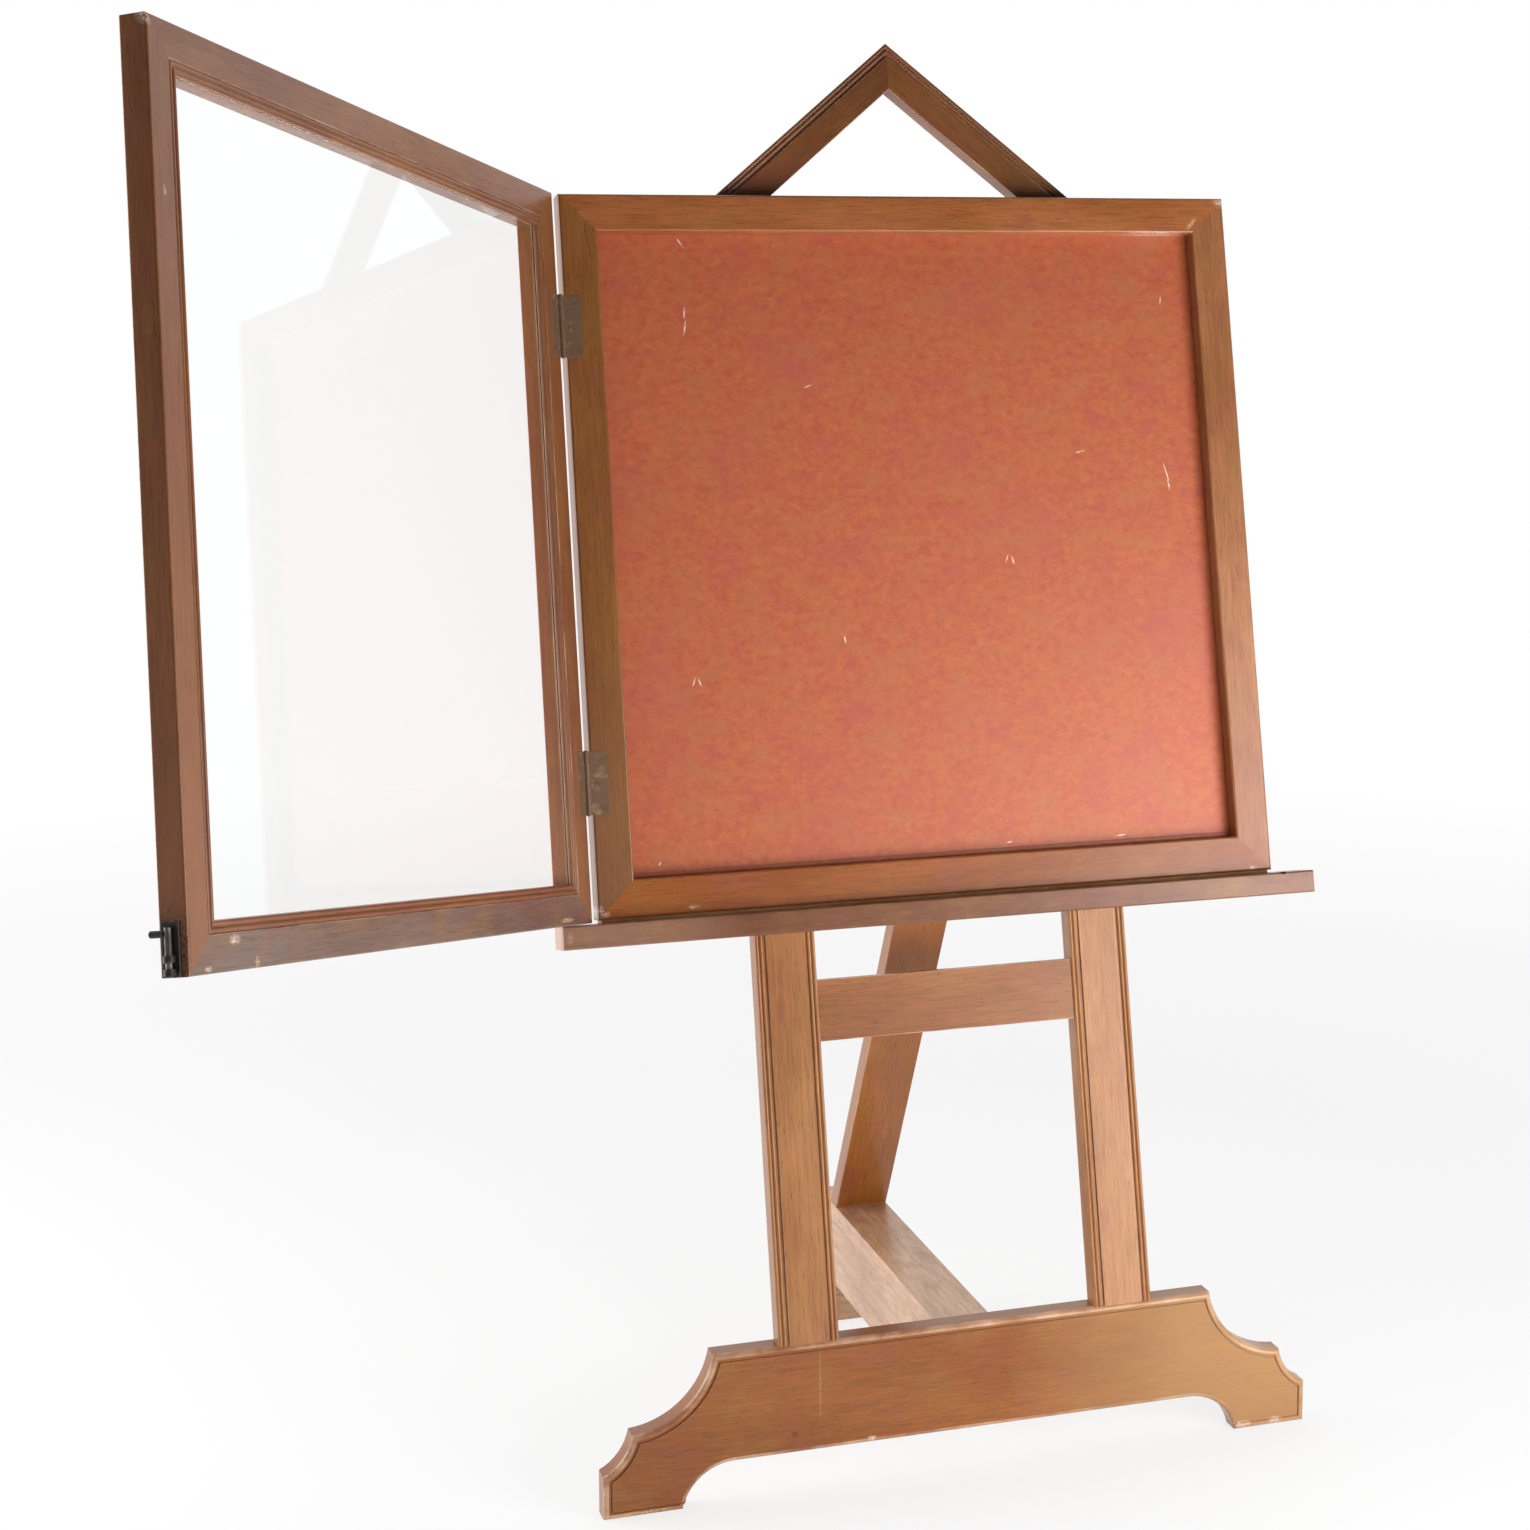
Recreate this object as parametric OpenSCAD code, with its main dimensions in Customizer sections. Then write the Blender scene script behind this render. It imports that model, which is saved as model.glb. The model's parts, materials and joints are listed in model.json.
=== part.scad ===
// Standing display easel: a leaning two-legged frame with a gable top, a shaped front foot,
// a floor beam with a back strut, a shelf, and a shallow case with a hinged glass door.
// X runs to the viewer's right, Y to the back and Z up. The origin is on the floor,
// under the middle of the rear foot.

/* [Stance] */
// Angle that the legs lean back from upright
lean = 12.5; // [8:0.5:16]
// Depth on the floor, from the front foot's face to the end of the floor beam
stance_depth = 472; // [440:1:520]

/* [Front foot] */
// Width of the front foot on the floor
foot_w = 796; // [760:1:840]
// Height of the front foot
foot_h = 163.5; // [155:0.5:175]
// Thickness of the front foot
foot_t = 24.5; // [23:0.5:30]
// Width of the foot's straight top edge
foot_top_w = 562; // [540:1:580]
// Radius of the large cove at each end of the top edge
cove_r = 92; // [86:1:110]
// Distance of the point between the two coves from the foot's end
nose_in = 31; // [28:0.5:34]
// Height of the point between the two coves
nose_h = 87; // [84:0.5:90]
// Height of the outer end of each foot pad
pad_h = 46; // [42:1:48]
// Radius of the small cove between the large cove and the pad
small_cove_r = 56; // [52:1:80]
// Width of each pad on the floor
pad_w = 84; // [74:1:96]
// Height of the arch between the pads
arch_h = 45; // [36:1:52]
// Radius at each end of the arch
arch_r = 57; // [54:1:64]
// Distance of the quirk line from the foot's outline
foot_quirk_in = 7; // [5:0.5:9]
// Width and depth of the quirk line
foot_quirk_w = 1.8; // [1:0.1:2.4]

/* [Legs] */
// Width of a leg
leg_w = 66; // [60:1:74]
// Thickness of a leg and of the gable
leg_t = 22; // [20:0.5:26]
// Distance of a leg's middle from the centre line
leg_x = 177.5; // [165:0.5:190]
// Radius of the reeds worked along the front edges
reed_r = 2.3; // [1.8:0.1:2.8]
// Width of the groove that sets the reeds off
quirk_w = 2.4; // [1.6:0.1:3.2]

/* [Gable] */
// Angle of the gable arms above level
gable_pitch = 40.2; // [36:0.1:44]
// Width of a gable arm, square to its length
gable_w = 40; // [36:0.5:44]

/* [Rails] */
// Distance up the legs to the bottom of the cross rail
rail_s = 479.4; // [440:0.2:500]
// Height of the cross rail and of the upper rail
rail_h = 65; // [58:0.5:72]
// Thickness of both rails
rail_t = 16; // [14:0.5:18]
// Distance of the cross rail behind the legs' front
rail_setback = 2.5; // [2:0.1:4]

/* [Shelf] */
// Distance up the legs to the shelf's underside
shelf_s = 598; // [575:0.5:615]
// Length of the shelf
shelf_l = 844; // [820:1:880]
// Thickness of the shelf
shelf_t = 24.3; // [22:0.1:28]
// Depth of the shelf, in front of the legs
shelf_d = 46; // [45.5:0.5:52]

/* [Floor beam and strut] */
// Width of the floor beam, the rear foot and the strut
beam_w = 62.4; // [56:0.2:68]
// Height of the beam's top above the floor
beam_z = 162; // [154:0.5:163]
// Thickness of the beam's top board
beam_top_t = 20; // [18:0.5:24]
// Height of the rail under the beam's top board
beam_rail_h = 77.5; // [70:0.5:84]
// Thickness of the rear foot, front to back
rear_foot_t = 25; // [22:0.5:32]
// Distance of the strut's front face behind the front foot's face, at the beam
strut_y = 396; // [380:1:410]
// Thickness of the strut
strut_t = 22; // [20:0.5:25]
// Angle that the strut leans forward from upright
strut_lean = 29.5; // [28:0.5:31]

/* [Case] */
// Width of the case
case_w = 762; // [740:1:784]
// Height of the case
case_h = 761.5; // [740:0.5:784]
// Depth of the case
case_d = 26; // [24:0.5:32]
// Width of the case's frame members
case_frame_w = 40; // [38:0.5:46]
// Thickness of the packing strip between the shelf and the case
case_gap = 3.2; // [2.6:0.1:4]
// Distance of the packing strip behind the case's face and inside its ends
packing_in = 4; // [2:0.5:8]
// Thickness of the board that closes the back of the case
back_t = 4; // [3:0.5:5]
// Thickness of the covered display panel
panel_t = 3; // [2:0.5:4]
// Width of the rebate that holds the panel
rebate_w = 10; // [8:0.5:12]

/* [Door] */
// Thickness of the door
door_t = 25.4; // [23:0.2:28]
// Width of the door's frame members
door_frame_w = 41.5; // [38:0.5:46]
// Gap between the shelf and the door
door_clear = 1.3; // [1:0.1:2]
// Angle at which the door stands open
door_open = 125.3; // [100:0.1:150]
// Gap between the closed door and the case
face_gap = 1; // [0.8:0.1:1.4]
// Width of the rebate for the glass, which the bead fills
bead_w = 10.5; // [9:0.5:12]
// Thickness of the bead that holds the glass
bead_t = 5.5; // [5:0.5:9]
// Thickness of the glass
glass_t = 3; // [2:0.5:4]

/* [Hinges] */
// Length of a hinge
hinge_l = 66; // [60:1:76]
// Distance of each hinge from the end of the case
hinge_inset = 108.5; // [90:0.5:130]
// Distance of the hinge's axis outside the edge of the case
hinge_out = 4; // [3.8:0.1:4.6]
// Width of a leaf, from the hinge's axis
leaf_w = 22; // [20:0.5:25]
// Thickness of a leaf
leaf_t = 1.6; // [1.4:0.1:1.8]
// Radius of the knuckles
knuckle_r = 3.2; // [3:0.05:3.4]
// Radius of the hinge pin
pin_r = 1.6; // [1.4:0.05:1.8]

/* [Bolt] */
// Width of the bolt's plate
bolt_plate_w = 15.5; // [15:0.5:17]
// Height of the bolt's plate
bolt_plate_h = 43; // [42:0.5:50]
// Thickness of the bolt's plate
bolt_plate_t = 1.5; // [1:0.1:2]
// Radius of the sliding rod
rod_r = 2.75; // [2.4:0.05:2.9]
// Length of the sliding rod
rod_l = 39; // [38:0.5:42]
// Distance of the rod's axis from the door's inner face
rod_in = 14.5; // [14:0.1:15]
// How far the rod slides down into the shelf
bolt_travel = 12; // [10:0.5:13]
// Height of the knob above the rod's tip
knob_up = 34; // [33:0.5:35]
// Radius of the knob
knob_r = 2.9; // [2:0.1:3]
// Length that the knob stands out from the rod's axis
knob_l = 16; // [12:0.5:24]

/* [Joinery] */
// Length of a tenon
tenon_l = 20; // [16:0.5:24]
// Thickness of a tenon
tenon_t = 8; // [6:0.5:10]
// Shoulder at each edge of a tenon
shoulder = 10; // [8:0.5:14]
// Length of the tenons let into the foot and the beam from the side or top
stub_l = 14; // [12:0.5:16]
// Radius of a dowel
dowel_r = 4; // [3:0.25:4.5]
// Length of a dowel
dowel_l = 44; // [36:1:50]
// Room left around a tenon, dowel or screw
fit = 0.1; // [0.05:0.01:0.15]

/* [Fasteners] */
// Radius of a wood screw's shank
screw_r = 2.2; // [1.8:0.1:2.6]
// Radius of a wood screw's head
screw_head_r = 4.2; // [3.8:0.1:4.8]
// Length of a wood screw that holds the case or the strut
screw_l = 34; // [30:1:36]
// Length of a wood screw that holds the shelf
long_screw_l = 50; // [44:1:54]
// Radius of a hinge screw's shank
hinge_screw_r = 1.5; // [1.2:0.1:1.8]
// Length of a hinge screw
hinge_screw_l = 14; // [10:0.5:18]

/* [Hidden] */
$fn = 32;

// colours
OAK = "#9a6238";
OAK_DARK = "#74482a";
DOOR_WOOD = "#7d5543";
COVER = "#a8533b";
BRASS = "#7a6a48";
STEEL = "#8d8a84";
IRON = "#3a3836";
GLASS = [0.8, 0.88, 0.88, 0.35];

// places that follow from the sizes
cut = 1;                                        // how far a cutter runs past a face
origin_y = stance_depth - rear_foot_t / 2;
leg_y = -foot_h * tan(lean);                    // the leg front's line on the floor
leg_in = leg_x - leg_w / 2;
leg_out = leg_x + leg_w / 2;
shelf_top = shelf_s + shelf_t;
case_s = shelf_top + case_gap;
case_top = case_s + case_h;
apex_s = case_top + leg_out * tan(gable_pitch);
rebate_d = back_t + panel_t;
case_open_w = case_w - 2 * case_frame_w;
case_open_h = case_h - 2 * case_frame_w;
door_s = shelf_top + door_clear;
door_w = case_w;
door_h = case_top - door_s;
glass_edge = door_frame_w - bead_w + 1;         // from the door's edge to the glass
hinge_x = -case_w / 2 - hinge_out;
hinge_off = case_d + face_gap / 2;
beam_under = beam_z - beam_top_t - beam_rail_h;
tenon_w = leg_w - 2 * shoulder;

// the strut's ends: its front and back faces, on the beam and on the back of the legs
strut_depth = strut_t / cos(strut_lean);
back_y = leg_y + leg_t / cos(lean);
function strut_z(y) = (y + beam_z * tan(strut_lean) - back_y) / (tan(strut_lean) + tan(lean));
function slope_s(z) = (back_y - leg_y + z * tan(lean)) * sin(lean) + z * cos(lean);
strut_mid_s = slope_s((strut_z(strut_y) + strut_z(strut_y + strut_depth)) / 2);
strut_screw_drop = 6;                           // keeps the screws in the slanting strut
upper_rail_s = strut_mid_s - rail_h / 2;

// fixing places
case_screw_in = 15;                             // from the case's top and bottom edges
shelf_screw_x = 16;                             // each side of a leg's middle
gable_dowel_in = 42;                            // from the leg's outer edge
apex_dowel_s = apex_s - gable_w / cos(gable_pitch) / 2 - dowel_r;
rear_dowel_x = 16;
hinge_screw_step = 24;
hinge_screw_in = [15, 9.5, 15];                 // from the hinge's axis
knuckles = 5;
knuckle_gap = 0.3;
knuckle_h = hinge_l / knuckles;
pin_fit = 0.05;
leaf_clear = 0.5;                               // leaf edge to the other leaf's knuckle

// bolt
door_edge = hinge_out + door_w;                 // from the hinge's axis to the free edge
bolt_lift = 0.5;                                // plate above the door's bottom
plate_y = -(face_gap / 2 + rod_in - bolt_plate_w / 2);
rod_stand = 0.3;                                // rod clear of its plate
rod_x = door_edge + bolt_plate_t + rod_stand + rod_r;
rod_y = -(face_gap / 2 + rod_in);
rod_tip_s = door_s + 0.3;
guide_wall = 1.5;
guide_h = 5.5;
guide_up = [1, 11.5];                           // above the rod's tip
rod_fit = 0.08;
socket_r = rod_r + 0.3;
socket_depth = bolt_travel;
mouth_r = 6;                                    // the worn mouth of the socket
mouth_depth = 6;

// ---- frames of reference ----

// y is measured back from the front foot's face
module on_floor() {
    translate([0, -origin_y, 0]) children();
}

// z is measured up the legs' front from the floor, and -y is out from that front
module on_slope() {
    on_floor() translate([0, leg_y, 0]) rotate([-lean, 0, 0]) children();
}

// at the door's hinge axis, with the door shut along +x
module at_hinge() {
    on_slope() translate([hinge_x, -hinge_off, 0]) children();
}

// the same, turned with the door
module on_door() {
    at_hinge() rotate([0, 0, -door_open]) children();
}

// ---- shared shapes ----

function arc(x, y, r, from, to, steps) =
    [for (i = [0:steps]) let (a = from + (to - from) * i / steps) [x + r * cos(a), y + r * sin(a)]];

// the tops of n round reeds side by side from x, with their crowns at y = 0
function reeds(x, n, r) =
    [for (k = [0:n - 1]) for (i = [(k == 0 ? 0 : 1):8]) let (a = 180 - 22.5 * i)
        [x + r * (2 * k + 1) + r * cos(a), r - r * sin(a)]];

// a block given by its lowest and highest corners
module block(low, high) {
    translate(low) cube(high - low);
}

// a plane outline in x and z, standing from y = 0 to the front
module standing(depth) {
    rotate([90, 0, 0]) linear_extrude(depth) children();
}

// one member of a mitred frame: side 0 is the bottom, 1 the left, 2 the top, 3 the right.
// Its profile has x in from the outer edge and y out from the back.
module mitred_member(side, w, h, wide, deep) {
    long = side % 2 == 0 ? w : h;
    across = side % 2 == 0 ? h : w;
    rotate([0, 90 * side, 0]) translate([-long / 2, 0, -across / 2]) intersection() {
        rotate([0, -90, 180]) linear_extrude(long) children();
        translate([0, cut, 0]) standing(deep + 2 * cut)
            polygon([[0, 0], [long, 0], [long - wide, wide], [wide, wide]]);
    }
}

// a countersunk screw with a slot, its head's face at the origin, driven along +y
module wood_screw(r, head_r, long) {
    head_h = head_r - r;
    rotate([-90, 0, 0]) difference() {
        union() {
            cylinder(h = head_h, r1 = head_r, r2 = r);
            translate([0, 0, head_h]) cylinder(h = long - head_h, r = r);
        }
        translate([-head_r, -0.4, -cut]) cube([2 * head_r, 0.8, cut + head_h / 2]);
    }
}

// the hole for that screw
module screw_hole(r, head_r, long) {
    head_h = head_r - r;
    rotate([-90, 0, 0]) union() {
        translate([0, 0, -cut]) cylinder(h = cut + 0.01, r = head_r + fit);
        cylinder(h = head_h, r1 = head_r + fit, r2 = r + fit);
        translate([0, 0, head_h - 0.01]) cylinder(h = long - head_h + fit + 0.01, r = r + fit);
    }
}

module dowel(gap) {
    cylinder(h = dowel_l + 2 * gap, r = dowel_r + gap, center = true);
}

// ---- places of the fasteners ----

// from the back of the legs into the case's top and bottom rails
module at_case_screws() {
    for (x = [-leg_x, leg_x]) for (s = [case_s + case_screw_in, case_top - case_screw_in])
        on_slope() translate([x, leg_t, s]) rotate([0, 0, 180]) children();
}

// from the back of the legs into the shelf
module at_shelf_screws() {
    for (side = [-1, 1]) for (x = [-shelf_screw_x, shelf_screw_x])
        on_slope() translate([side * leg_x + x, leg_t, shelf_s + shelf_t / 2])
            rotate([0, 0, 180]) children();
}

// from the front of the upper rail into the strut
module at_strut_screws() {
    for (x = [-beam_w / 4, beam_w / 4])
        on_slope() translate([x, leg_t - rail_t, strut_mid_s - strut_screw_drop]) children();
}

module at_gable_dowels() {
    for (side = [-1, 1])
        on_slope() translate([side * (leg_out - gable_dowel_in), leg_t / 2, case_top]) children();
    on_slope() translate([0, leg_t / 2, apex_dowel_s]) rotate([0, 90, 0]) children();
}

module at_rear_dowels() {
    for (x = [-rear_dowel_x, rear_dowel_x])
        on_floor() translate([x, stance_depth - rear_foot_t / 2, beam_under]) children();
}

module case_screw_holes() {
    at_case_screws() screw_hole(screw_r, screw_head_r, screw_l);
}

module shelf_screw_holes() {
    at_shelf_screws() screw_hole(screw_r, screw_head_r, long_screw_l);
}

// ---- front foot ----

// the middle of an arc that bows inwards between an upper and a lower point of the outline
function cove_middle(upper, lower, r) = let (
    across = atan2(upper[1] - lower[1], upper[0] - lower[0]),
    reach = sqrt(pow(r, 2) - pow(norm(upper - lower) / 2, 2))
) (upper + lower) / 2 + reach * [cos(across - 90), sin(across - 90)];

// half of the foot's outline, drawn in by an inset
function foot_half(inset) = let (
    top = [foot_top_w / 2, foot_h],
    nose = [foot_w / 2 - nose_in, nose_h],
    heel = [foot_w / 2, pad_h],
    big = cove_middle(top, nose, cove_r),
    small = cove_middle(nose, heel, small_cove_r),
    big_r = cove_r + inset,
    small_r = small_cove_r + inset,
    // where the two coves, the top edge and the pad's end cross once they are drawn in
    top_a = 180 + asin((big[1] - foot_h + inset) / big_r),
    heel_x = foot_w / 2 - inset,
    heel_a = 360 - acos((heel_x - small[0]) / small_r),
    gap = norm(small - big),
    turn = atan2(small[1] - big[1], small[0] - big[0]),
    big_a = turn - acos((pow(gap, 2) + pow(big_r, 2) - pow(small_r, 2)) / (2 * gap * big_r)),
    meet = big + big_r * [cos(big_a), sin(big_a)],
    meet_a = atan2(meet[1] - small[1], meet[0] - small[0])
) concat(
    arc(big[0], big[1], big_r, top_a, 360 + big_a, 16),
    arc(small[0], small[1], small_r, 360 + meet_a, heel_a, 8),
    [[heel_x, inset]]);

function arch_half(inset) = let (
    r = arch_r - inset,
    centre = [foot_w / 2 - pad_w - sqrt(pow(arch_r, 2) - pow(arch_r - arch_h, 2)), arch_h - arch_r],
    low = asin((inset - centre[1]) / r)
) arc(centre[0], centre[1], r, low, 90, 12);

function turned_over(points) = [for (i = [len(points) - 1:-1:0]) [-points[i][0], points[i][1]]];

function foot_outline(inset) = concat(
    foot_half(inset), arch_half(inset), turned_over(arch_half(inset)), turned_over(foot_half(inset)));

module front_foot() {
    color(OAK) on_floor() difference() {
        translate([0, foot_t, 0]) standing(foot_t) polygon(foot_outline(0));
        // the quirk line that follows the outline
        translate([0, foot_quirk_w, 0]) standing(foot_quirk_w + cut) difference() {
            polygon(foot_outline(foot_quirk_in));
            polygon(foot_outline(foot_quirk_in + foot_quirk_w));
        }
        for (x = [-leg_x, leg_x]) leg_tenon(x, fit);
        beam_tenon(fit);
    }
}

// ---- legs and rails ----

module leg_tenon(x, gap) {
    block([x - tenon_w / 2 - gap, (foot_t - tenon_t) / 2 - gap, foot_h - tenon_l - gap],
        [x + tenon_w / 2 + gap, (foot_t + tenon_t) / 2 + gap, foot_h + dowel_r]);
}

module rail_block(setback, s, gap) {
    middle = setback + rail_t / 2;
    block([-leg_in - tenon_l - gap, middle - tenon_t / 2 - gap, s + shoulder - gap],
        [leg_in + tenon_l + gap, middle + tenon_t / 2 + gap, s + rail_h - shoulder + gap]);
}

module rail(setback, s) {
    on_slope() union() {
        block([-leg_in, setback, s], [leg_in, setback + rail_t, s + rail_h]);
        rail_block(setback, s, 0);
    }
}

module leg(side) {
    outline = concat([[leg_w / 2, leg_t], [-leg_w / 2, leg_t]], reeds(-leg_w / 2, 2, reed_r),
        [[-leg_w / 2 + 4 * reed_r + quirk_w, reed_r], [-leg_w / 2 + 4 * reed_r + quirk_w, 0],
        [leg_w / 2 - 4 * reed_r - quirk_w, 0], [leg_w / 2 - 4 * reed_r - quirk_w, reed_r]],
        reeds(leg_w / 2 - 4 * reed_r, 2, reed_r));
    color(OAK) union() {
        difference() {
            on_slope() translate([side * leg_x, 0, 0]) linear_extrude(case_top) polygon(outline);
            on_floor() block([-foot_w, -foot_h, -foot_h], [foot_w, stance_depth, foot_h]);
            on_slope() rail_block(rail_setback, rail_s, fit);
            on_slope() rail_block(leg_t - rail_t, upper_rail_s, fit);
            case_screw_holes();
            shelf_screw_holes();
            at_gable_dowels() dowel(fit);
        }
        on_floor() leg_tenon(side * leg_x, 0);
    }
}

module left_leg() {
    leg(-1);
}

module right_leg() {
    leg(1);
}

module cross_rail() {
    color(OAK) rail(rail_setback, rail_s);
}

module upper_rail() {
    color(OAK_DARK) difference() {
        rail(leg_t - rail_t, upper_rail_s);
        at_strut_screws() screw_hole(screw_r, screw_head_r, screw_l);
    }
}

// ---- gable ----

module gable_arm(side) {
    outline = concat([[gable_w, leg_t], [0, leg_t]], reeds(0, 2, reed_r),
        [[4 * reed_r + quirk_w, reed_r], [4 * reed_r + quirk_w, 0], [gable_w, 0]]);
    reach = leg_out / cos(gable_pitch) + gable_w;
    color(OAK_DARK) difference() {
        on_slope() mirror([side > 0 ? 1 : 0, 0, 0]) intersection() {
            translate([-leg_out, 0, case_top]) rotate([0, 90 - gable_pitch, 0])
                translate([0, 0, -gable_w * 1.5]) linear_extrude(reach + gable_w * 1.5) polygon(outline);
            block([-leg_out - cut, -cut, case_top], [0, leg_t + cut, apex_s + cut]);
        }
        at_gable_dowels() dowel(fit);
    }
}

module left_gable_arm() {
    gable_arm(-1);
}

module right_gable_arm() {
    gable_arm(1);
}

module gable_dowels() {
    color(OAK_DARK) at_gable_dowels() dowel(0);
}

// ---- shelf ----

module shelf() {
    round_r = 2;
    ends = shelf_d - round_r;
    color(OAK) difference() {
        on_slope() translate([-shelf_l / 2, 0, shelf_s]) rotate([90, 0, 90]) linear_extrude(shelf_l)
            polygon(concat([[0, 0]], [[0, shelf_t]], arc(-ends, shelf_t - round_r, round_r, 90, 180, 4),
                arc(-ends, round_r, round_r, 180, 270, 4)));
        shelf_screw_holes();
        at_hinge() translate([rod_x, rod_y, shelf_top - socket_depth])
            cylinder(h = socket_depth + cut, r = socket_r);
        at_hinge() translate([rod_x, rod_y, shelf_top - mouth_depth])
            cylinder(h = mouth_depth + cut, r1 = socket_r, r2 = mouth_r);
    }
}

module shelf_screws() {
    color(STEEL) at_shelf_screws() wood_screw(screw_r, screw_head_r, long_screw_l);
}

// ---- floor beam, rear foot and strut ----

module beam_tenon(gap) {
    low = beam_under + shoulder;
    high = beam_z - beam_top_t - shoulder;
    block([-beam_w / 2 + shoulder - gap, foot_t - stub_l - gap, low - gap],
        [beam_w / 2 - shoulder + gap, foot_t + shoulder, high + gap]);
}

module strut_tenon(gap) {
    middle = strut_y + strut_depth / 2;
    block([-beam_w / 2 + shoulder - gap, middle - tenon_t / 2 - gap, beam_z - stub_l - gap],
        [beam_w / 2 - shoulder + gap, middle + tenon_t / 2 + gap, beam_z + dowel_r]);
}

module beam_top() {
    color(OAK) on_floor() difference() {
        block([-beam_w / 2, foot_t, beam_z - beam_top_t], [beam_w / 2, stance_depth, beam_z]);
        strut_tenon(fit);
    }
}

module beam_rail() {
    color(OAK) difference() {
        on_floor() union() {
            block([-beam_w / 2, foot_t, beam_under], [beam_w / 2, stance_depth, beam_z - beam_top_t]);
            beam_tenon(0);
        }
        at_rear_dowels() dowel(fit);
    }
}

module rear_foot() {
    color(OAK) difference() {
        on_floor() block([-beam_w / 2, stance_depth - rear_foot_t, 0], [beam_w / 2, stance_depth, beam_under]);
        at_rear_dowels() dowel(fit);
    }
}

module rear_foot_dowels() {
    color(OAK_DARK) at_rear_dowels() dowel(0);
}

module strut() {
    far = strut_y + strut_depth;
    front_z = strut_z(strut_y);
    far_z = strut_z(far);
    color(OAK_DARK) difference() {
        on_floor() union() {
            translate([-beam_w / 2, 0, 0]) rotate([90, 0, 90]) linear_extrude(beam_w)
                polygon([[strut_y, beam_z], [far, beam_z], [back_y + far_z * tan(lean), far_z],
                    [back_y + front_z * tan(lean), front_z]]);
            strut_tenon(0);
        }
        at_strut_screws() screw_hole(screw_r, screw_head_r, screw_l);
    }
}

module strut_screws() {
    color(STEEL) at_strut_screws() wood_screw(screw_r, screw_head_r, screw_l);
}

// ---- case ----

module case_profile() {
    outer_r = 3;
    inner_r = 2.5;
    polygon(concat([[0, 0], [case_frame_w - rebate_w, 0], [case_frame_w - rebate_w, rebate_d],
        [case_frame_w, rebate_d]],
        arc(case_frame_w - inner_r, case_d - inner_r, inner_r, 0, 90, 5),
        arc(outer_r, case_d - outer_r, outer_r, 90, 180, 5)));
}

module case_member(side) {
    on_slope() translate([0, 0, case_s + case_h / 2])
        mitred_member(side, case_w, case_h, case_frame_w, case_d) case_profile();
}

module case_left_stile() {
    color(OAK) difference() {
        case_member(1);
        for (s = hinge_places()) at_hinge() translate([0, 0, s]) leaf_recess();
    }
}

module case_right_stile() {
    color(OAK) case_member(3);
}

module case_top_rail() {
    color(OAK) difference() {
        case_member(2);
        case_screw_holes();
    }
}

module case_bottom_rail() {
    color(OAK) difference() {
        case_member(0);
        case_screw_holes();
    }
}

// the thin strip that lifts the case off the shelf, so that the door swings clear
module case_packing() {
    color(OAK_DARK) on_slope() block([packing_in - case_w / 2, packing_in - case_d, shelf_top],
        [case_w / 2 - packing_in, 0, case_s]);
}

// a board that fills the case's rebates between two depths
module case_board(near, far) {
    half_w = case_open_w / 2 + rebate_w - fit;
    half_h = case_open_h / 2 + rebate_w - fit;
    on_slope() translate([0, 0, case_s + case_h / 2])
        block([-half_w, -far, -half_h], [half_w, -near, half_h]);
}

module case_back() {
    color(OAK_DARK) case_board(0, back_t);
}

module display_panel() {
    color(COVER) case_board(back_t, rebate_d);
}

module case_screws() {
    color(STEEL) at_case_screws() wood_screw(screw_r, screw_head_r, screw_l);
}

// ---- hinges ----

// where each hinge starts, up the legs: the lower one, then the upper one
function hinge_places() = [case_s + hinge_inset, case_top - hinge_inset - hinge_l];

module hinge_screws(hole) {
    for (i = [0:2]) translate([hinge_screw_in[i], face_gap / 2, hinge_l / 2 + hinge_screw_step * (i - 1)])
        if (hole) screw_hole(hinge_screw_r, hinge_screw_r + leaf_t, hinge_screw_l);
        else wood_screw(hinge_screw_r, hinge_screw_r + leaf_t, hinge_screw_l);
}

// a leaf lies behind the hinge's face plane, and its knuckles are every second one from the first
module leaf(first) {
    difference() {
        union() for (k = [0:knuckles - 1]) {
            own = k % 2 == first;
            low = k * knuckle_h + (own ? knuckle_gap / 2 : -knuckle_gap / 2);
            high = (k + 1) * knuckle_h - (own ? knuckle_gap / 2 : -knuckle_gap / 2);
            if (own) translate([0, 0, low]) cylinder(h = high - low, r = knuckle_r);
            block([own ? 0 : knuckle_r + leaf_clear, face_gap / 2, max(low, 0)],
                [leaf_w, face_gap / 2 + leaf_t, min(high, hinge_l)]);
        }
        translate([0, 0, -cut]) cylinder(h = hinge_l + 2 * cut, r = pin_r + pin_fit);
        hinge_screws(true);
    }
}

// the leaf's seat in the wood, open to the edge, with its screw holes
module leaf_recess() {
    union() {
        block([0, 0, -fit], [leaf_w + fit, face_gap / 2 + leaf_t, hinge_l + fit]);
        hinge_screws(true);
    }
}

module hinge_pin(s) {
    head_r = pin_r + 1;
    color(BRASS) at_hinge() translate([0, 0, s]) union() {
        cylinder(h = hinge_l, r = pin_r);
        translate([0, 0, hinge_l]) cylinder(h = 1, r1 = head_r, r2 = pin_r);
        translate([0, 0, -1]) cylinder(h = 1, r1 = pin_r, r2 = head_r);
    }
}

module upper_case_leaf() {
    color(BRASS) at_hinge() translate([0, 0, hinge_places()[1]]) leaf(0);
}

module lower_case_leaf() {
    color(BRASS) at_hinge() translate([0, 0, hinge_places()[0]]) leaf(0);
}

module upper_hinge_pin() {
    hinge_pin(hinge_places()[1]);
}

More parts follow.
